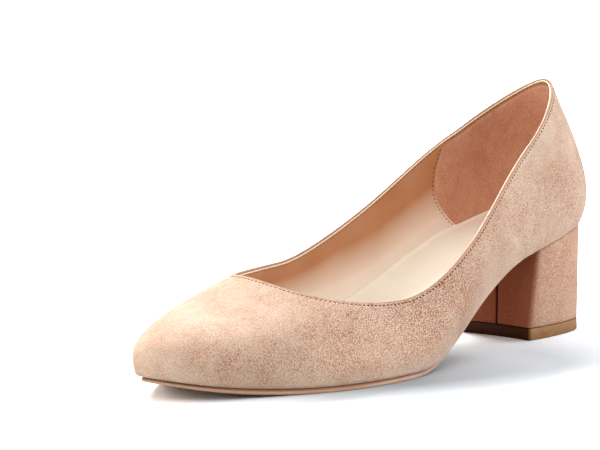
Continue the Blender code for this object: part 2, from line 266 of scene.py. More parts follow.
def put_in_scene(name, data):
    """A new object in the scene."""
    made = bpy.data.objects.new(name, data)
    bpy.context.scene.collection.objects.link(made)
    return made


def make_piece(name, mesh_data, material, stands_for=None, marks=None):
    """A smooth closed mesh from points in millimetres and faces, which rides on the shoe."""
    points, faces = mesh_data
    placed = (np.asarray(points) - CENTRE) * MM
    if signed_volume(placed, faces) < 0:
        faces = [face[::-1] for face in faces]
    mesh = bpy.data.meshes.new(name)
    mesh.from_pydata(placed.tolist(), [], faces)
    mesh.polygons.foreach_set("use_smooth", [True] * len(mesh.polygons))
    for mark, values in (marks or {}).items():
        layer = mesh.attributes.new(mark, "FLOAT", "POINT")
        layer.data.foreach_set("value", np.asarray(values, np.float32))
    mesh.materials.append(material)
    piece = put_in_scene(name, mesh)
    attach(piece, "root")
    if stands_for:
        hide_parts(stands_for)


def shade(red, green, blue):
    """A display colour from 0 to 255 as a linear one."""
    linear = []
    for part in (red, green, blue):
        part = part / 255
        linear.append(part / 12.92 if part <= 0.04045 else ((part + 0.055) / 1.055) ** 2.4)
    return (*linear, 1.0)


def new_material(name):
    """An empty finish with its tree and its shader."""
    material = bpy.data.materials.new(name)
    material.use_nodes = True
    return material, material.node_tree, material.node_tree.nodes["Principled BSDF"]


def add(tree, kind, inputs=(), **settings):
    """One node; inputs are pairs of a socket and a value or the output that feeds it."""
    node = tree.nodes.new(kind)
    for key, value in settings.items():
        setattr(node, key, value)
    for socket, value in inputs:
        if isinstance(value, bpy.types.NodeSocket):
            tree.links.new(value, node.inputs[socket])
        else:
            node.inputs[socket].default_value = value
    return node


def place_in(tree):
    """Places in the shoe's own frame."""
    return add(tree, "ShaderNodeTexCoord").outputs["Object"]


def mark_of(tree, name):
    """A mark that the mesh carries."""
    return add(tree, "ShaderNodeAttribute", attribute_name=name).outputs["Fac"]


def grain(tree, where, size, detail=2.0, rough=0.5, bend=0.0):
    """Noise whose cells are about size millimetres wide."""
    inputs = (("Vector", where), ("Scale", 1 / (size * MM)), ("Detail", detail), ("Roughness", rough))
    return add(tree, "ShaderNodeTexNoise", (*inputs, ("Distortion", bend))).outputs["Fac"]


def spread(tree, value, low, high, to_low=0.0, to_high=1.0):
    """The value stretched from low..high to another range, with its ends held."""
    inputs = ((0, value), (1, low), (2, high), (3, to_low), (4, to_high))
    return add(tree, "ShaderNodeMapRange", inputs).outputs[0]


def blend(tree, factor, first, second, mode="MIX"):
    """Two colours mixed."""
    inputs = ((0, factor), (6, first), (7, second))
    return add(tree, "ShaderNodeMix", inputs, data_type="RGBA", blend_type=mode).outputs[2]


def reckon(tree, operation, first, second=0.0):
    """Two numbers put together."""
    return add(tree, "ShaderNodeMath", ((0, first), (1, second)), operation=operation).outputs[0]


def times(tree, first, second):
    """One number multiplied by another."""
    return reckon(tree, "MULTIPLY", first, second)


def crease_depths(points, side, along, up, end_along, end_up, width, depth):
    """A soft trough between two places on one side, with a fainter ridge along each of its edges."""
    here = np.stack([points[:, :, 1], points[:, :, 2] - feather_height(points[:, :, 1])], axis=2)
    start = np.array([along, up])
    run = np.array([end_along, end_up]) - start
    share = np.clip((here - start) @ run / (run @ run), 0.0, 1.0)
    away = np.linalg.norm(here - start - share[:, :, None] * run, axis=2) / width
    trough = np.exp(-(away**2)) - 0.35 * np.exp(-(((away - 1.9) / 0.7) ** 2))
    return depth * trough * (points[:, :, 0] * side > 0.0)


def suede(name, pale, mid, deep, nap=0.95, grain_size=0.46, painted=None, paint=None):
    """Brushed suede: a fine two-toned nap, patches where it lies the other way, and a soft sheen.
    The piece's own nap attribute says where the nap stands rough, from 0 to 1."""
    material, tree, shader = new_material(name)
    where = place_in(tree)
    rough = mark_of(tree, "nap")
    fibres = spread(tree, grain(tree, where, grain_size, 1.0, 0.6), 0.38, 0.62)
    hairs = spread(tree, grain(tree, where, grain_size * 0.45, 1.0, 0.6), 0.36, 0.64)
    brushed = spread(tree, grain(tree, where, 8.0, 3.0, 0.55, 0.8), 0.32, 0.68)
    cloudy = spread(tree, grain(tree, where, 26.0, 2.0, 0.5), 0.34, 0.66)
    patches = reckon(tree, "ADD", times(tree, brushed, 0.4), times(tree, cloudy, 0.6))
    fine = reckon(tree, "ADD", times(tree, fibres, 0.6), times(tree, hairs, 0.4))
    strength = times(tree, rough, spread(tree, brushed, 0.0, 1.0, nap, nap * 0.7))
    ground = blend(tree, spread(tree, patches, 0.15, 0.85), mid, pale)
    flattened = spread(tree, brushed, 0.1, 0.75, 1.0, 0.0)
    reddish = blend(tree, flattened, shade(239, 220, 210), shade(239, 209, 193))
    ground = blend(tree, rough, ground, reddish, "MULTIPLY")
    if painted:
        area = mark_of(tree, painted)
        ground = blend(tree, area, ground, paint)
        strength = times(tree, strength, spread(tree, area, 0.0, 1.0, 1.0, 0.22))
        tree.links.new(spread(tree, area, 0.0, 1.0, 0.2, 0.0), shader.inputs["Sheen Weight"])
    dark_share = times(tree, spread(tree, fine, 0.10, 0.52, 1.0, 0.0), strength)
    light_share = times(tree, spread(tree, fine, 0.55, 0.90, 0.0, 1.0), strength)
    shadowed = blend(tree, 0.9, ground, deep, "MULTIPLY")
    speckled = blend(tree, dark_share, ground, shadowed)
    tips = blend(tree, 0.7, ground, shade(255, 238, 218))
    tipped = blend(tree, light_share, speckled, tips)
    height = reckon(tree, "ADD", times(tree, fine, strength), times(tree, brushed, 0.3))
    bump = add(tree, "ShaderNodeBump", (("Strength", 0.45), ("Distance", 0.3 * MM), ("Height", height)))
    tree.links.new(tipped, shader.inputs["Base Color"])
    tree.links.new(bump.outputs["Normal"], shader.inputs["Normal"])
    shader.inputs["Roughness"].default_value = 0.95
    shader.inputs["Specular IOR Level"].default_value = 0.12
    shader.inputs["Sheen Weight"].default_value = 0.20
    shader.inputs["Sheen Roughness"].default_value = 0.45
    shader.inputs["Sheen Tint"].default_value = shade(255, 232, 214)
    return material


ribs = shell_ribs(RIBS_ROUND)
shape_points = shell_rings(shell_ribs(CAD_RIBS), np.linspace(0.0, 1.0, CAD_STEPS)[:, None]).reshape(-1, 3)
CENTRE = (shape_points.min(axis=0) + shape_points.max(axis=0)) / 2
CENTRE[2] = 0.0

foot_ring = ribs[0]
foot_out = outward(foot_ring)
collar_shares = shares_at_drop(ribs, np.array(COLLAR_DROPS)[:, None])
climbs = np.linspace(0.0, 1.0, SUEDE_LEVELS, endpoint=False)[:, None]
face_shares = np.concatenate([FIRST_SHARE + (collar_shares[0] - FIRST_SHARE) * climbs, collar_shares])
face = shell_rings(ribs, face_shares)
face_out = shell_normals(ribs, face_shares)
for level, drop in enumerate(COLLAR_DROPS):
    sunk = PINHOLE_GROOVE * math.exp(-(((drop - PINHOLE_DROP) / GROOVE_WIDTH) ** 2))
    face[SUEDE_LEVELS + level] -= face_out[SUEDE_LEVELS + level] * sunk
collar_fade = np.clip(np.linalg.norm(face - ribs[3], axis=2) / CREASE_FADE - 0.25, 0.0, 1.0)
for crease in CREASES:
    face -= face_out * (crease_depths(face, *crease) * collar_fade)[:, :, None]
turned_under = [foot_ring - foot_out * inward + np.array([0.0, 0.0, up]) for inward, up in SOLE_TURN]
folded_over = collar_rings(ribs, COLLAR_FOLD)
back_shares = shares_at_drop(ribs, np.array([[FOLD_REACH]]))[0] * np.linspace(1.0, 0.05, 12)[:, None]
suede_back = shell_rings(ribs, back_shares) - shell_normals(ribs, back_shares) * SUEDE_THICKNESS
margin_back = foot_ring - foot_out * SOLE_TURN[0][0] + np.array([0.0, 0.0, SOLE_TURN[0][1] + 0.15])
upper_finish = suede(
    "suede_upper",
    shade(229, 208, 187),
    shade(211, 182, 159),
    shade(160, 108, 78),
    painted="rim",
    paint=shade(190, 149, 123),
)
suede_loops = [*turned_under, *face, *folded_over, *suede_back, margin_back]


def nap_of(points):
    """Where the nap stands rough, which darkens the suede: most on vamp and quarter, least on the toe and
    along the sole; partly painted light, with a painted highlight on the upper counter and painted shade on
    the vamp behind the joint.
    """
    along = points[:, 1]
    rise = (points[:, 2] - feather_height(along)) / (0.45 * SIDE_HEIGHT)
    toe = np.clip((along - 20.0) / 45.0, 0.0, 1.0)
    toe = np.maximum(toe, np.clip(1.5 - 1.4 * rise, 0.0, 1.0) * np.clip(along / 20.0, 0.0, 1.0))
    smooth_to = 0.25 + 0.5 * np.clip((along - 124.0) / 40.0, 0.0, 1.0)
    edge = 0.30 + 0.70 * np.clip(rise / smooth_to, 0.0, 1.0) ** 1.5
    waist = 1 - 0.35 * np.exp(-(((along - 172.0) / 26.0) ** 2)) * np.clip(1.5 - rise, 0.0, 1.0)
    # Painted highlight: the upper counter is made smoother, so paler.
    counter_highlight = 1 - 0.9 * np.clip((along - 178.0) / 18.0, 0.0, 1.0) * np.clip((rise - 0.8) / 0.6, 0.0, 1.0)
    throat = 1 - 0.5 * np.exp(-(((along - 48.0) / 16.0) ** 2)) * np.clip((rise - 0.7) / 0.3, 0.0, 1.0)
    # Painted shade: the vamp behind the joint is made rougher, so darker.
    joint_shade = 0.84 + 0.16 * np.exp(-(((along - 116.0) / 34.0) ** 2))
    painted_vamp_shade = 0.45 * np.exp(-(((along - 102.0) / 32.0) ** 2)) * np.clip((rise - 0.35) / 0.5, 0.0, 1.0)
    return 0.36 + 0.64 * toe * edge * waist * counter_highlight * throat * joint_shade + painted_vamp_shade


plain_loops = len(turned_under) + len(face) - 2
rim_shares = [0.0] * plain_loops + [0.6] + [1.0] * (len(suede_loops) - plain_loops - 1)
suede_marks = {"nap": nap_of(np.concatenate(suede_loops)), "rim": np.repeat(rim_shares, RIBS_ROUND)}
make_piece("upper_suede", bridge(suede_loops, True), upper_finish, "upper", suede_marks)

# Lining
# Smooth beige leather glued inside the suede, from the collar down under the sock.
# It is painted tan as painted shade under the collar and towards the front and back of the opening, and
# paler towards the sock, where more light reaches.
LINING_LEVELS = 40
LINING_TOP = ((1.20, -0.50), (1.22, -0.30), (1.34, -0.20), (1.52, -0.20), (1.68, -0.30), (1.77, -0.48))
LINING_DROPS = (0.7, 0.9, 1.05, 1.25, 1.6, 2.2)
SEWN_DROP = 1.0  # from the top of the collar to the row of stitches inside
SEWN_GROOVE = 0.12
SEWN_GROOVE_WIDTH = 0.25
LINING_FOOT = 0.6  # its lower end, over the edge where upper and sole meet


def leather(colour_output, tree, shader, gloss=0.42, pore=0.7):
    """Finishes a smooth leather: pores, faint unevenness and a satin surface."""
    where = place_in(tree)
    pores = grain(tree, where, pore, 3.0, 0.6)
    waves = grain(tree, where, 14.0, 2.0, 0.5)
    height = reckon(tree, "ADD", times(tree, pores, 0.3), waves)
    bump = add(tree, "ShaderNodeBump", (("Strength", 0.25), ("Distance", 0.3 * MM), ("Height", height)))
    tree.links.new(colour_output, shader.inputs["Base Color"])
    tree.links.new(bump.outputs["Normal"], shader.inputs["Normal"])
    rough = spread(tree, pores, 0.3, 0.7, gloss - 0.05, gloss + 0.08)
    tree.links.new(rough, shader.inputs["Roughness"])
    shader.inputs["Specular IOR Level"].default_value = 0.35


lining_material, tree, shader = new_material("lining_leather")
rise = mark_of(tree, "rise")
clouds = spread(tree, grain(tree, place_in(tree), 18.0, 3.0, 0.5), 0.3, 0.7)
# Painted shade: cream near the sock, turning tan up under the collar.
base = blend(tree, spread(tree, rise, 0.24, 0.62), shade(252, 248, 240), shade(236, 220, 202))
base = blend(tree, spread(tree, rise, 0.56, 0.95), base, shade(180, 121, 81))
base = blend(tree, spread(tree, clouds, 0.0, 1.0, 0.0, 0.2), base, shade(212, 174, 142))
leather(base, tree, shader)

lining_depth = drops_at_height(ribs, LINING_FOOT)
below_top = LINING_DROPS[-1]
steps = np.linspace(0.0, 1.0, LINING_LEVELS + 1)[1:, None]
lining_drops = below_top + (lining_depth - below_top) * steps
top_drops = np.broadcast_to(np.array(LINING_DROPS)[:, None], (len(LINING_DROPS), RIBS_ROUND))
lining_drops = np.concatenate([top_drops, lining_drops])
lining_shares = shares_at_drop(ribs, lining_drops)
lining_out = shell_normals(ribs, lining_shares)
lining_face = shell_rings(ribs, lining_shares) - lining_out * WALL
for level, drop in enumerate(LINING_DROPS):
    sunk = SEWN_GROOVE * math.exp(-(((drop - SEWN_DROP) / SEWN_GROOVE_WIDTH) ** 2))
    lining_face[level] += lining_out[level] * sunk
hidden_shares = lining_shares[::-5]
hidden_depth = SUEDE_THICKNESS + 0.13
lining_back = shell_rings(ribs, hidden_shares) - shell_normals(ribs, hidden_shares) * hidden_depth
lining_loops = [*collar_rings(ribs, LINING_TOP), *lining_face, *lining_back]
height_share = 1 - lining_drops / lining_depth
# Painted shade: more tan towards the back and the front of the opening.
shadier = 0.3 * np.clip((ribs[3][:, 1] - 110.0) / 50.0, 0.0, 1.0)
shadier += 0.2 * np.clip((140.0 - ribs[3][:, 1]) / 40.0, 0.0, 1.0)
lining_shade_of = [np.ones(RIBS_ROUND)] * len(LINING_TOP)
lining_shade_of += [*(height_share + shadier), *height_share[::-5]]
lining_marks = {"rise": np.concatenate(lining_shade_of)}
make_piece("lining", bridge(lining_loops, True), lining_material, "upper", lining_marks)

# Lining edge
# The lining's cut edge is turned and shows as a thin cream bead all round the collar, just inside the fold.
BEAD_CENTRE = (1.46, -0.20)
BEAD_RADIUS = 0.28
BEAD_POINTS = 10

edge_material, tree, shader = new_material("lining_edge")
flecks = spread(tree, grain(tree, place_in(tree), 1.2, 3.0, 0.6), 0.35, 0.65)
leather(blend(tree, flecks, shade(238, 214, 188), shade(252, 238, 220)), tree, shader, 0.35, 0.4)
bead_turns = np.linspace(0.0, 2 * np.pi, BEAD_POINTS, endpoint=False)
bead_profile = [
    (BEAD_CENTRE[0] + BEAD_RADIUS * math.cos(turn), BEAD_CENTRE[1] + BEAD_RADIUS * math.sin(turn))
    for turn in bead_turns
]
make_piece("lining_edge", bridge(collar_rings(ribs, bead_profile), True), edge_material)

# Pinholes and stitches of the collar
# The fold is sewn down with one row of close stitches: small dark pinholes in the suede outside, which are
# painted shade, dark drops for the shadow inside each hole, and brown dashes of thread on the lining
# inside, right under the bead.
STITCH_PITCH = 1.8
PINHOLE_SIZE = (1.2, 1.0, 0.42)
HOLE_SUNK = 0.06
THREAD_SIZE = (1.35, 0.42, 0.34)
THREAD_SUNK = 0.02


def group_input(tree, name, kind):
    """A named input of a node group."""
    return tree.interface.new_socket(name, in_out="INPUT", socket_type=kind).identifier


def sewing_tree():
    """Geometry Nodes that lay one stitch after another along a line that lies on a surface."""
    tree = bpy.data.node_groups.new("row_of_stitches", "GeometryNodeTree")
    group_input(tree, "Line", "NodeSocketGeometry")
    keys = {
        "pitch": group_input(tree, "Pitch", "NodeSocketFloat"),
        "size": group_input(tree, "Stitch size", "NodeSocketVector"),
        "finish": group_input(tree, "Thread", "NodeSocketMaterial"),
    }
    tree.interface.new_socket("Stitches", in_out="OUTPUT", socket_type="NodeSocketGeometry")
    given = tree.nodes.new("NodeGroupInput").outputs
    line = add(tree, "GeometryNodeMeshToCurve", (("Mesh", given["Line"]),)).outputs["Curve"]
    run = add(tree, "GeometryNodeCurveLength", (("Curve", line),)).outputs["Length"]
    count = reckon(tree, "ROUND", reckon(tree, "DIVIDE", run, given["Pitch"]))
    resample = add(tree, "GeometryNodeResampleCurve", (("Curve", line), ("Count", count)), mode="COUNT")
    out = add(tree, "GeometryNodeInputNamedAttribute", (("Name", "face_out"),), data_type="FLOAT_VECTOR")
    align = "FunctionNodeAlignRotationToVector"
    stand = add(tree, align, (("Vector", out.outputs["Attribute"]),), axis="Z").outputs[0]
    tangent = add(tree, "GeometryNodeInputTangent").outputs[0]
    turn = add(tree, align, (("Rotation", stand), ("Vector", tangent)), axis="X", pivot_axis="Z").outputs[0]
    ball = (("Segments", 8), ("Rings", 5), ("Radius", 0.5))
    drop = add(tree, "GeometryNodeMeshUVSphere", ball).outputs["Mesh"]
    placing = (("Points", resample.outputs["Curve"]), ("Instance", drop), ("Rotation", turn))
    laid = add(tree, "GeometryNodeInstanceOnPoints", (*placing, ("Scale", given["Stitch size"])))
    laid = laid.outputs["Instances"]
    real = add(tree, "GeometryNodeRealizeInstances", (("Geometry", laid),)).outputs["Geometry"]
    smooth = add(tree, "GeometryNodeSetShadeSmooth", (("Geometry", real),)).outputs["Geometry"]
    done = add(tree, "GeometryNodeSetMaterial", (("Geometry", smooth), ("Material", given["Thread"])))
    result = tree.nodes.new("NodeGroupOutput")
    tree.links.new(done.outputs["Geometry"], result.inputs["Stitches"])
    return tree, keys


SEWING, SEWING_KEYS = sewing_tree()


def sew(name, line, out, size, finish, closed=True):
    """A row of stitches along the line, as a plain mesh that rides on the shoe."""
    mesh = bpy.data.meshes.new(name + "_line")
    count = len(line)
    edges = [(here, here + 1) for here in range(count - 1)]
    if closed:
        edges.append((count - 1, 0))
    mesh.from_pydata(((line - CENTRE) * MM).tolist(), edges, [])
    layer = mesh.attributes.new("face_out", "FLOAT_VECTOR", "POINT")
    layer.data.foreach_set("vector", np.asarray(out, np.float32).ravel())
    guide = put_in_scene(name + "_line", mesh)
    modifier = guide.modifiers.new("stitches", "NODES")
    modifier.node_group = SEWING
    modifier[SEWING_KEYS["pitch"]] = STITCH_PITCH * MM
    modifier[SEWING_KEYS["size"]] = [side * MM for side in size]
    modifier[SEWING_KEYS["finish"]] = finish
    made = bpy.data.meshes.new_from_object(guide.evaluated_get(bpy.context.evaluated_depsgraph_get()))
    bpy.data.objects.remove(guide)
    made.name = name
    row = put_in_scene(name, made)
    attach(row, "root")


def thread(name, dark, light):
    """Twisted thread, or the painted shade of a hole, with its tone broken up along the row."""
    material, tree, shader = new_material(name)
    twist = spread(tree, grain(tree, place_in(tree), 0.35, 2.0, 0.6), 0.35, 0.65)
    bump = add(tree, "ShaderNodeBump", (("Strength", 0.4), ("Distance", 0.08 * MM), ("Height", twist)))
    tree.links.new(blend(tree, twist, dark, light), shader.inputs["Base Color"])
    tree.links.new(bump.outputs["Normal"], shader.inputs["Normal"])
    shader.inputs["Roughness"].default_value = 0.85
    shader.inputs["Specular IOR Level"].default_value = 0.2
    return material


def sew_collar(name, drop, depth, size, finish):
    """A row of stitches all round the upper, a drop below the collar and a depth under its outer face."""
    share = shares_at_drop(ribs, np.array([[drop]]))
    out = shell_normals(ribs, share)[0]
    sew(name, shell_rings(ribs, share)[0] - out * depth, out, size, finish)


# Painted shade: the pinholes are dark drops for the shadow inside each hole.
hole_shade_finish = thread("pinhole_shade", shade(72, 34, 18), shade(120, 70, 44))
thread_finish = thread("thread_brown", shade(84, 46, 28), shade(150, 102, 72))
hole_depth = PINHOLE_GROOVE + HOLE_SUNK
sewn_depth = WALL - SEWN_GROOVE - THREAD_SUNK
sew_collar("collar_pinholes", PINHOLE_DROP, hole_depth, PINHOLE_SIZE, hole_shade_finish)
sew_collar("lining_stitches", SEWN_DROP, sewn_depth, THREAD_SIZE, thread_finish)

# Heel grip
# A patch of darker suede glued on the lining round the back of the heel, so that the heel doesn't slip.
# Its front edges bow forward, and each is sewn down with a short row of stitches.
GRIP_FRONT = 185.0  # where its front edge reaches furthest, from the toe tip
GRIP_FRONT_DROP = 15.0
GRIP_BOW = 9.0
GRIP_BOW_REACH = 22.0
GRIP_TOP_DROP = 1.9
GRIP_THICKNESS = 0.45
GRIP_FOOT = 5.4  # its lower end, over the edge where upper and sole meet
GRIP_EDGE_RUN = 40.0  # from its top to its lower end along the front edges
GRIP_ROWS = 44
GRIP_COLUMNS = 90
GRIP_STITCH_SIZE = (1.1, 0.55, 0.40)
GRIP_SEAM_AHEAD = 1.2  # ribs between its front edge and the stitches


def ring_between(ring, start, stop, count):
    """Points of a closed ring between two places in it, which may lie between its points."""
    at = np.linspace(start, stop, count)
    here = np.floor(at).astype(int)
    part = (at - here)[:, None]
    total = len(ring)
    return ring[here % total] * (1 - part) + ring[(here + 1) % total] * part


def place_along(ring, along, first, last):
    """Place between ribs first and last of the ring where it passes a length from the toe."""
    span = np.arange(first, last + 1)
    values = ring[span % len(ring), 1]
    order = np.argsort(values)
    return float(np.interp(along, values[order], span[order]))


def grip_edge(drop):
    """How far from the toe the grip's front edges lie at a drop below the collar."""
    return GRIP_FRONT + GRIP_BOW * ((drop - GRIP_FRONT_DROP) / GRIP_BOW_REACH) ** 2


heel_rib = int(np.argmax(ribs[3][:, 1]))
grip_low = drops_at_height(ribs, GRIP_FOOT)
quarter = RIBS_ROUND // 5
grip_rows = []
grip_outs = []
grip_edges = []
for part in np.linspace(0.0, 1.0, GRIP_ROWS):
    drops = GRIP_TOP_DROP + (grip_low - GRIP_TOP_DROP) * part
    shares = shares_at_drop(ribs, drops[None, :])
    outs = shell_normals(ribs, shares)[0]
    ring = shell_rings(ribs, shares)[0] - outs * WALL
    front_edge = grip_edge(float(GRIP_TOP_DROP + GRIP_EDGE_RUN * part))
    start = place_along(ring, front_edge, heel_rib - quarter, heel_rib - 8)
    stop = place_along(ring, front_edge, heel_rib + 8, heel_rib + quarter)
    grip_rows.append(ring_between(ring, start, stop, GRIP_COLUMNS))
    grip_outs.append(ring_between(outs, start, stop, GRIP_COLUMNS))
    sewn = (start - GRIP_SEAM_AHEAD, stop + GRIP_SEAM_AHEAD, 2)
    grip_edges.append((ring_between(ring, *sewn), ring_between(outs, *sewn)))
grip_rows = np.array(grip_rows)
grip_outs = np.array(grip_outs)


def grid_border(rows, columns):
    """Numbers of a grid's points, and of those round its border."""
    number = np.arange(rows * columns).reshape(rows, columns)
    return number, np.concatenate([number[0, :], number[1:, -1], number[-1, -2::-1], number[-2:0:-1, 0]])


def sheet_mesh(low, high):
    """A closed sheet from two grids of points, with a thin edge between them."""
    rows, columns = low.shape[:2]
    number, border = grid_border(rows, columns)
    total = rows * columns
    quads = np.stack([number[:-1, :-1], number[:-1, 1:], number[1:, 1:], number[1:, :-1]], axis=2)
    quads = quads.reshape(-1, 4)
    faces = [*quads[:, ::-1].tolist(), *(quads + total).tolist(), *band(border, border + total)]
    return np.concatenate([low.reshape(-1, 3), high.reshape(-1, 3)]), faces


rim = np.ones(grip_rows.shape[:2])
for inset, share in enumerate((0.35, 0.75, 0.93)):
    rim[inset, :] = np.minimum(rim[inset, :], share)
    rim[:, inset] = np.minimum(rim[:, inset], share)
    rim[:, -1 - inset] = np.minimum(rim[:, -1 - inset], share)
grip_finish = suede("suede_grip", shade(214, 166, 138), shade(200, 150, 122), shade(180, 126, 98), 0.5)
grip_face = grip_rows - grip_outs * GRIP_THICKNESS * rim[:, :, None]
grip_mesh = sheet_mesh(grip_rows + grip_outs * 0.05, grip_face)
make_piece("heel_grip", grip_mesh, grip_finish, marks={"nap": np.full(len(grip_mesh[0]), 0.6)})
for side, side_name in enumerate(("outer", "inner")):
    line = np.array([ends[side] for ends, outs in grip_edges])[1:-2]
    outs = np.array([outs[side] for ends, outs in grip_edges])[1:-2]
    row_name = f"grip_stitches_{side_name}"
    sew(row_name, line - outs * THREAD_SUNK, outs, GRIP_STITCH_SIZE, thread_finish, closed=False)

# Sock
# A full length sock of smooth cream leather, glued over the padded insole board.
# Its edge turns up slightly where it meets the lining.
SOCK_TOP = 5.8  # over the edge where upper and sole meet
SOCK_TURN_UP = 1.0
SOCK_BORDER = 0.14  # share of its half width over which it turns up
SOCK_SUNK = 0.15
SOCK_STATIONS = 150
SOCK_COLUMNS = 44


def inner_wall(height, inset):
    """Ring of the lining's face at a height over the edge where upper and sole meet."""
    shares = shares_at_drop(ribs, drops_at_height(ribs, height)[None, :])
    ring = shell_rings(ribs, shares)[0]
    return ring - outward(ring) * (WALL + inset)


def side_curves(ring):
    """The ring's two sides as across against along, each from the toe to the heel."""
    back = int(np.argmax(ring[:, 1]))
    front = int(np.argmin(ring[:, 1]))
    turned = np.roll(ring, -front, axis=0)
    back = (back - front) % len(ring)
    return turned[: back + 1], np.concatenate([turned[back:], turned[:1]])[::-1]


def plate_layer(ring, stations, columns, end=None, hollow=0.0):
    """A grid of points over the ring's inside, level, with finer steps near its borders."""
    outer, inner = side_curves(ring)
    last = outer[-1, 1] if end is None else end
    t = np.linspace(0.0, 1.0, stations + 1)
    share = (1 - np.cos(np.pi * t)) / 2 if end is None else 1 - np.cos(np.pi * t / 2)
    sides = np.sin(np.linspace(-1.0, 1.0, columns + 1) * np.pi / 2)
    grid = np.zeros((len(share), len(sides), 3))
    for column, side in enumerate(sides):
        along = outer[0, 1] + (last - outer[0, 1]) * share + hollow * (1 - side**2) * share**6
        curve = outer if side > 0 else inner
        middle = sum(np.interp(along, line[:, 1], line[:, 0]) for line in (outer, inner)) / 2
        edge = np.interp(along, curve[:, 1], curve[:, 0])
        grid[:, column, 0] = middle + (edge - middle) * abs(side)
        grid[:, column, 1] = along
    return grid, np.abs(sides), share


sock_material, tree, shader = new_material("sock_leather")
clouds = spread(tree, grain(tree, place_in(tree), 22.0, 3.0, 0.5), 0.3, 0.7)
leather(blend(tree, clouds, shade(250, 240, 220), shade(255, 248, 232)), tree, shader, 0.5, 0.6)
sock_top, sock_sides, sock_run = plate_layer(inner_wall(SOCK_TOP, -0.05), SOCK_STATIONS, SOCK_COLUMNS)
sock_low, _, _ = plate_layer(inner_wall(0.2, GAP), SOCK_STATIONS, SOCK_COLUMNS)
near_edge = np.maximum(sock_sides[None, :], np.abs(2 * sock_run[:, None] - 1))
turn_up = SOCK_TURN_UP * np.clip((near_edge - 1 + SOCK_BORDER) / SOCK_BORDER, 0.0, 1.0) ** 2
sock_top[:, :, 2] = feather_height(sock_top[:, :, 1]) + SOCK_TOP + turn_up - SOCK_SUNK
sock_low[:, :, 2] = feather_height(sock_low[:, :, 1])
make_piece("sock", sheet_mesh(sock_low, sock_top), sock_material, "insole")

# Outsole
# A thin tan sole, cut to the upper's edge from the toe to the breast of the heel and thinner at the waist.
# Its edge is rounded and waxed, and its underside is smooth.
WAIST_THICKNESS = 1.1
SOLE_INSET = 1.0
WAIST_INSET = 2.6
TOE_THICKNESS = 1.3
TOE_INSET = 2.2
TOE_TAPER = 45.0
SOLE_ROUNDING = 0.5
BREAST_HOLLOW = 1.6
SOLE_STATIONS = 140
SOLE_COLUMNS = 26

sole_material, tree, shader = new_material("sole_leather")
where = place_in(tree)
clouds = spread(tree, grain(tree, where, 12.0, 4.0, 0.6, 0.4), 0.3, 0.7)
streaks = spread(tree, grain(tree, where, 0.8, 3.0, 0.7), 0.3, 0.7)
base = blend(tree, clouds, shade(206, 166, 136), shade(220, 184, 156))
base = blend(tree, spread(tree, streaks, 0.0, 1.0, 0.0, 0.25), base, shade(160, 118, 88))
# Painted shade: the top face and the top of the edge are darkened for the shade in the gap under the
# upper's overhang.
base = blend(tree, mark_of(tree, "sole_gap_shade"), base, shade(176, 122, 94))
leather(base, tree, shader, 0.38, 0.5)


def waist_share(along):
    """How far the sole has passed from its forefoot to its thinner waist, from 0 to 1."""
    t = np.clip((along - FLAT_TO) / (BREAST_AT - FLAT_TO), 0.0, 1.0)
    return 1 - (1 - t) ** 2


def toe_share(along):
    """How far the sole has thinned from its forefoot to the toe tip, from 0 to 1."""
    return np.clip(1 - along / TOE_TAPER, 0.0, 1.0) ** 2


def sole_thickness(along):
    """How thick the sole is at a length from the toe."""
    thickness = SOLE_THICKNESS + (WAIST_THICKNESS - SOLE_THICKNESS) * waist_share(along)
    return thickness + (TOE_THICKNESS - SOLE_THICKNESS) * toe_share(along)


def sole_layer(extra_inset, share, extra=0.0):
    """A level of the sole: its outline, and its height as a share of the thickness plus a length."""
    inset = SOLE_INSET + (WAIST_INSET - SOLE_INSET) * waist_share(foot_ring[:, 1]) + extra_inset
    inset = inset + (TOE_INSET - SOLE_INSET) * toe_share(foot_ring[:, 1])
    ring = foot_ring - foot_out * inset[:, None]
    grid, _, _ = plate_layer(ring, SOLE_STATIONS, SOLE_COLUMNS, BREAST_AT - GAP, BREAST_HOLLOW)
    top = feather_height(grid[:, :, 1]) - GAP
    grid[:, :, 2] = top - sole_thickness(grid[:, :, 1]) * (1 - share) + extra
    return grid


def plate_mesh(layers):
    """A closed plate from grids, lowest first: its two faces are whole grids, its edge is their borders."""
    points, faces = sheet_mesh(layers[0], layers[-1])
    rows, columns = layers[0].shape[:2]
    _, border = grid_border(rows, columns)
    faces = faces[: -len(border)]
    rings = [border]
    added = [points]
    start = len(points)
    for layer in layers[1:-1]:
        added.append(layer.reshape(-1, 3)[border])
        rings.append(np.arange(start, start + len(border)))
        start += len(border)
    rings.append(border + rows * columns)
    for low, high in zip(rings, rings[1:]):
        faces += band(low, high)
    return np.concatenate(added), faces


sole_layers = [
    sole_layer(SOLE_ROUNDING, 0.0),
    sole_layer(SOLE_ROUNDING * 0.3, 0.0, SOLE_ROUNDING * 0.3),
    sole_layer(0.0, 0.0, SOLE_ROUNDING),
    sole_layer(0.0, 0.56),
    sole_layer(0.12, 0.64),
    sole_layer(0.16, 1.0),
]
sole_mesh = plate_mesh(sole_layers)
top_count = sole_layers[-1].shape[0] * sole_layers[-1].shape[1]
edge_count = (len(sole_mesh[0]) - 2 * top_count) // (len(sole_layers) - 2)
# Painted shade along the top of the sole's edge, under the upper, and on its hidden top face.
sole_gap_shade = np.zeros(len(sole_mesh[0]))
sole_gap_shade[top_count : 2 * top_count] = 1.0
sole_gap_shade[-edge_count:] = 0.9
sole_marks = {"sole_gap_shade": sole_gap_shade}
make_piece("sole_finished", sole_mesh, sole_material, "outsole", sole_marks)

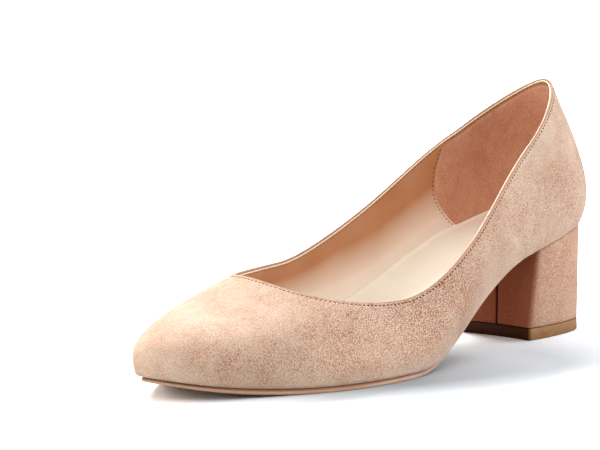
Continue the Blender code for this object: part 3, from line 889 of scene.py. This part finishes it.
# Heel
# A block of moulded plastic wrapped in the same suede, which meets in one straight seam down the middle
# of its hollow breast. It is nailed on under the seat, and stands in slightly under the upper's edge.
HEEL_INSET = 0.5
BREAST_RAKE = 1.6
LIFT_WIDTH = 39.4
LIFT_LENGTH = 43.4
LIFT_SQUARENESS = 2.9
LIFT_THICKNESS = 4.9
HEEL_POINTS = 160
BREAST_POINTS = 95
HEEL_LEVELS = 22
HEEL_CORNER = 2.0
CORNER_POINTS = 6
SEAM_WIDTH = 0.44
SEAM_DEPTH = 0.9
SEAM_SHADOW = 1.3  # how wide the painted shade in its groove is, as a share of its width


def breast_places():
    """Shares across the breast, from -0.5 to 0.5, closest together at the seam."""
    even = np.linspace(-0.5, 0.5, BREAST_POINTS)
    return 0.35 * even + 2.6 * even**3


def rounded_corner(start, corner, stop):
    """Points of a small arc that takes the place of a corner, without its two ends."""
    t = np.linspace(0.0, 1.0, CORNER_POINTS + 2)[1:-1, None]
    return (1 - t) ** 2 * start + 2 * t * (1 - t) * corner + t**2 * stop


def close_with_breast(curve, corner, seam_depth):
    """Adds the hollowed breast between the curve's two ends, with the seam's groove in its middle."""
    steps = np.linalg.norm(np.diff(curve, axis=0), axis=1)
    run = np.concatenate([[0.0], np.cumsum(steps)])
    at = np.linspace(corner, run[-1] - corner, HEEL_POINTS)
    sides = np.stack([np.interp(at, run, curve[:, axis]) for axis in range(2)], axis=1)
    start = curve[-1]
    stop = curve[0]
    across = breast_places() * (1 - 2 * corner / np.linalg.norm(stop - start))
    breast = (start + stop) / 2 + (stop - start) * across[:, None]
    breast[:, 1] += BREAST_HOLLOW * (1 - (2 * across) ** 2)
    breast[:, 1] += seam_depth * np.exp(-((across * (stop[0] - start[0]) / SEAM_WIDTH) ** 2))
    first = rounded_corner(breast[-1], stop, sides[0])
    last = rounded_corner(sides[-1], start, breast[0])
    return np.concatenate([sides, last, breast, first])


def seat_outline(inset, corner, seam_depth):
    """Outline of the block's top, from the upper's own edge behind the breast."""
    outer, inner = side_curves(foot_ring - foot_out * (HEEL_INSET + inset))
    sides = []
    for curve in (outer, inner):
        along = np.concatenate([[BREAST_AT + inset], curve[curve[:, 1] > BREAST_AT + inset, 1]])
        sides.append(np.stack([np.interp(along, curve[:, 1], curve[:, 0]), along], axis=1))
    return close_with_breast(np.concatenate([sides[0], sides[1][-2::-1]]), corner, seam_depth)


def lift_outline(inset, corner, seam_depth=0.0):
    """Outline of the top lift: straight breast and a squared oval back."""
    angle = np.linspace(0.0, np.pi, 361)
    power = 2 / LIFT_SQUARENESS
    across = (LIFT_WIDTH / 2 - inset) * np.sign(np.cos(angle)) * np.abs(np.cos(angle)) ** power
    along = inset + (LIFT_LENGTH - 2 * inset) * np.sin(angle) ** power
    curve = np.stack([across, along + BREAST_AT - BREAST_RAKE], axis=1)
    return close_with_breast(curve, corner, seam_depth)


def stack_mesh(levels):
    """A closed block from outlines with heights, lowest first."""
    loops = [np.column_stack([outline, np.full(len(outline), heights)]) for outline, heights in levels]
    points, faces = bridge(loops)
    count = len(loops[0])
    middle_low = loops[0].mean(axis=0)
    middle_high = loops[-1].mean(axis=0)
    points = np.concatenate([points, [middle_low, middle_high]])
    top = len(points) - 2 - count
    for here in range(count):
        ahead = (here + 1) % count
        faces.append([ahead, here, len(points) - 2])
        faces.append([top + here, top + ahead, len(points) - 1])
    return points, faces


def heel_level(share, inset=0.0, shift=0.0):
    """One outline of the block at a share of the way up, from the lift to the seat."""
    top = seat_outline(inset, HEEL_CORNER, SEAM_DEPTH)
    low = lift_outline(inset, HEEL_CORNER, SEAM_DEPTH)
    foot_height = LIFT_THICKNESS + GAP
    seat = HEEL_HEIGHT - SEAT_RISE * (LENGTH - top[:, 1]) / HEEL_LENGTH - GAP
    return low + (top - low) * share, foot_height + (seat - foot_height) * share + shift


heel_levels = [heel_level(0.0, 0.45, 0.0), heel_level(0.0, 0.12, 0.15), heel_level(0.0, 0.0, 0.5)]
heel_levels += [heel_level(share) for share in np.linspace(0.03, 0.97, HEEL_LEVELS)]
heel_levels += [heel_level(1.0, 0.0, -0.5), heel_level(1.0, 0.12, -0.15), heel_level(1.0, 0.5, 0.0)]
# Painted shade: the breast, under the arch, is painted dark reddish brown for the shade that falls there,
# with fainter flecks and no sheen.
cover_finish = suede(
    "suede_heel",
    shade(222, 188, 162),
    shade(206, 168, 142),
    shade(176, 128, 100),
    painted="breast",
    paint=shade(148, 82, 56),
)


def block_marks(one, level_count):
    """Marks for every outline of a block from those of one outline, and 0 for its two middle points."""
    return np.concatenate([np.tile(one, level_count), [0.0, 0.0]])


def breast_shade_marks(level_count, soft=0.0):
    """Painted shade on the breast: 1 on the breast's points, between on the corners', and fading from soft
    on the sides'.
    """
    rising = np.linspace(soft, 1.0, CORNER_POINTS + 2)[1:-1] ** 1.5
    steps = np.arange(HEEL_POINTS)
    sides = soft**1.5 * (np.exp(-steps / 4.0) + np.exp(-(HEEL_POINTS - 1 - steps) / 4.0))
    return block_marks(np.concatenate([sides, rising, np.ones(BREAST_POINTS), rising[::-1]]), level_count)


heel_breast_shade = breast_shade_marks(len(heel_levels), 0.5)
seam_shade_marks = np.exp(-((breast_places() * LIFT_WIDTH / (SEAM_SHADOW * SEAM_WIDTH)) ** 4))
seam_shade_marks = np.concatenate([np.zeros(HEEL_POINTS + CORNER_POINTS), seam_shade_marks, np.zeros(CORNER_POINTS)])
tree = cover_finish.node_tree
colour_input = tree.nodes["Principled BSDF"].inputs["Base Color"]
cover_colour = colour_input.links[0].from_socket
# Painted shade: the seam's groove down the middle of the breast is painted near black brown.
tree.links.new(blend(tree, mark_of(tree, "seam"), cover_colour, shade(40, 14, 6)), colour_input)
cover_marks = {
    "breast": heel_breast_shade,
    "nap": 0.8 - 0.4 * heel_breast_shade,
    "seam": block_marks(seam_shade_marks, len(heel_levels)),
}
make_piece("heel_cover", stack_mesh(heel_levels), cover_finish, "heel", cover_marks)

# Top lift
# The wear piece under the heel: a crisp slab of olive brown rubber, moulded with a slight sheen.
LIFT_ROUNDING = 0.6
LIFT_CORNER = 1.3

lift_material, tree, shader = new_material("lift_rubber")
clouds = spread(tree, grain(tree, place_in(tree), 5.0, 3.0, 0.6), 0.3, 0.7)
base = blend(tree, clouds, shade(148, 104, 64), shade(170, 126, 84))
# Painted shade: the lift's breast side is painted near black brown for the shade under the arch.
leather(blend(tree, mark_of(tree, "breast"), base, shade(60, 26, 4)), tree, shader, 0.45, 0.5)
shader.inputs["Specular IOR Level"].default_value = 0.10
lift_levels = [
    (lift_outline(LIFT_ROUNDING, LIFT_CORNER), 0.0),
    (lift_outline(LIFT_ROUNDING * 0.3, LIFT_CORNER), LIFT_ROUNDING * 0.3),
    (lift_outline(0.0, LIFT_CORNER), LIFT_ROUNDING),
    (lift_outline(0.0, LIFT_CORNER), LIFT_THICKNESS - 0.2),
    (lift_outline(0.15, LIFT_CORNER), LIFT_THICKNESS),
]
lift_shade_marks = {"breast": breast_shade_marks(len(lift_levels))}
make_piece("heel_tip", stack_mesh(lift_levels), lift_material, "top_lift", lift_shade_marks)

# Studio
# A white table under soft light from the upper left, and the camera at the photograph's own angle.
CAMERA_TURN = 0.7727  # radians round the shoe from the toe
CAMERA_RISE = 0.1193
CAMERA_ROLL = -0.0174
CAMERA_AT = (678.2, -697.7, 166.6)
FOCAL_PIXELS = 2493.83
FRAME_PIXELS = 600
OFF_CENTRE = (-68.24, -10.88)  # pixels right of and below the point that turn and rise aim at
UNDER_SHOE = (0.03, 0.01, 0.0)  # where the painted shadow on the table is darkest, in metres
BESIDE_SOLE = (0.045, -0.045, 0.0)  # and where a painted shadow beside the sole's near edge darkens it
FLOOR_HALF = 6.0

floor_mesh = bpy.data.meshes.new("floor")
corners = [(x * FLOOR_HALF, y * FLOOR_HALF, 0.0) for x, y in ((-1, -1), (1, -1), (1, 1), (-1, 1))]
floor_mesh.from_pydata(corners, [], [(0, 1, 2, 3)])
floor_material = bpy.data.materials.new("white_table")
floor_material.use_nodes = True
tree = floor_material.node_tree
tree.nodes.clear()
seen = add(tree, "ShaderNodeLightPath").outputs["Is Camera Ray"]
where = place_in(tree)
reach, beside = (
    add(tree, "ShaderNodeVectorMath", ((0, where), (1, place)), operation="DISTANCE").outputs["Value"]
    for place in (UNDER_SHOE, BESIDE_SOLE)
)
# Painted shadow: seen by the camera, the table is darker close under the shoe and beside the sole's near
# edge, and brighter further out until it is plain white.
contact_shadow_tone = spread(tree, reach, 0.045, 0.12, 0.74, 1.7)
contact_shadow_tone = times(tree, contact_shadow_tone, spread(tree, beside, 0.02, 0.08, 0.60, 1.0))
lift_up = reckon(tree, "ADD", contact_shadow_tone, spread(tree, reach, 0.3, 1.6, 0.0, 2.3))
cool = ((0, times(tree, lift_up, 0.96)), (1, lift_up), (2, times(tree, lift_up, 1.03)))
bright = add(tree, "ShaderNodeCombineColor", cool).outputs[0]
tone = blend(tree, seen, (0.50, 0.50, 0.50, 1.0), bright)
surface = add(tree, "ShaderNodeBsdfDiffuse", (("Color", tone),))
result = add(tree, "ShaderNodeOutputMaterial")
tree.links.new(surface.outputs[0], result.inputs["Surface"])
floor_mesh.materials.append(floor_material)
floor = put_in_scene("floor", floor_mesh)

world = bpy.data.worlds.new("studio")
bpy.context.scene.world = world
world.use_nodes = True
tree = world.node_tree
tree.nodes.clear()
seen = add(tree, "ShaderNodeLightPath").outputs["Is Camera Ray"]
where = add(tree, "ShaderNodeTexCoord").outputs["Generated"]
height = add(tree, "ShaderNodeSeparateXYZ", ((0, where),)).outputs["Z"]
room = spread(tree, height, 0.0, 0.9, 0.26, 0.34)
strength = reckon(tree, "MAXIMUM", room, times(tree, seen, 1.5))
sky = add(tree, "ShaderNodeBackground", (("Color", (1.0, 1.0, 1.0, 1.0)), ("Strength", strength)))
result = add(tree, "ShaderNodeOutputWorld")
tree.links.new(sky.outputs[0], result.inputs["Surface"])

# Large square lights that face the shoe: name, place and size in metres, power and colour
LIGHTS_AIM = Vector((0.0, 0.0, 0.04))
for name, place, size, power, colour in (
    ("key_light", (-0.90, 0.50, 0.90), 0.7, 34.0, (1.0, 0.99, 0.98)),
    ("rear_light", (0.80, 0.90, 0.25), 0.7, 6.5, (0.92, 1.0, 1.10)),
    ("rear_high", (0.45, 0.95, 0.70), 0.7, 5.5, (0.92, 1.0, 1.10)),
    ("front_fill", (-0.60, -1.00, 0.45), 0.7, 5.5, (1.04, 0.96, 0.90)),
    ("side_fill", (0.60, -0.75, 0.70), 0.7, 5.5, (1.0, 0.99, 0.98)),
    ("overhead", (-0.10, 0.10, 1.35), 0.9, 2.5, (1.0, 0.99, 0.98)),
):
    data = bpy.data.lights.new(name, "AREA")
    data.size = size
    data.energy = power
    data.color = colour
    lamp = put_in_scene(name, data)
    lamp.location = place
    lamp.rotation_euler = (LIGHTS_AIM - Vector(place)).to_track_quat("-Z", "Y").to_euler()

turn_sine, turn_cosine = math.sin(CAMERA_TURN), math.cos(CAMERA_TURN)
rise_sine, rise_cosine = math.sin(CAMERA_RISE), math.cos(CAMERA_RISE)
back = Vector((turn_sine * rise_cosine, -turn_cosine * rise_cosine, rise_sine))
right = Vector((turn_cosine, turn_sine, 0.0))
up = back.cross(right)
aim = (right * OFF_CENTRE[0] - up * OFF_CENTRE[1] - back * FOCAL_PIXELS).normalized()
side = right * math.cos(CAMERA_ROLL) + up * math.sin(CAMERA_ROLL)
side = (side - aim * side.dot(aim)).normalized()
camera_data = bpy.data.cameras.new("camera")
camera_data.sensor_width = 36.0
camera_data.lens = FOCAL_PIXELS / FRAME_PIXELS * camera_data.sensor_width
camera_data.clip_start = 0.05
camera_data.clip_end = 30.0
camera = put_in_scene("camera", camera_data)
turned = Matrix((side, (-aim).cross(side), -aim)).transposed()
camera.matrix_world = Matrix.Translation(Vector(CAMERA_AT) * MM) @ turned.to_4x4()
bpy.context.scene.camera = camera
bpy.context.scene.view_settings.view_transform = "Standard"
bpy.context.scene.view_settings.look = "None"
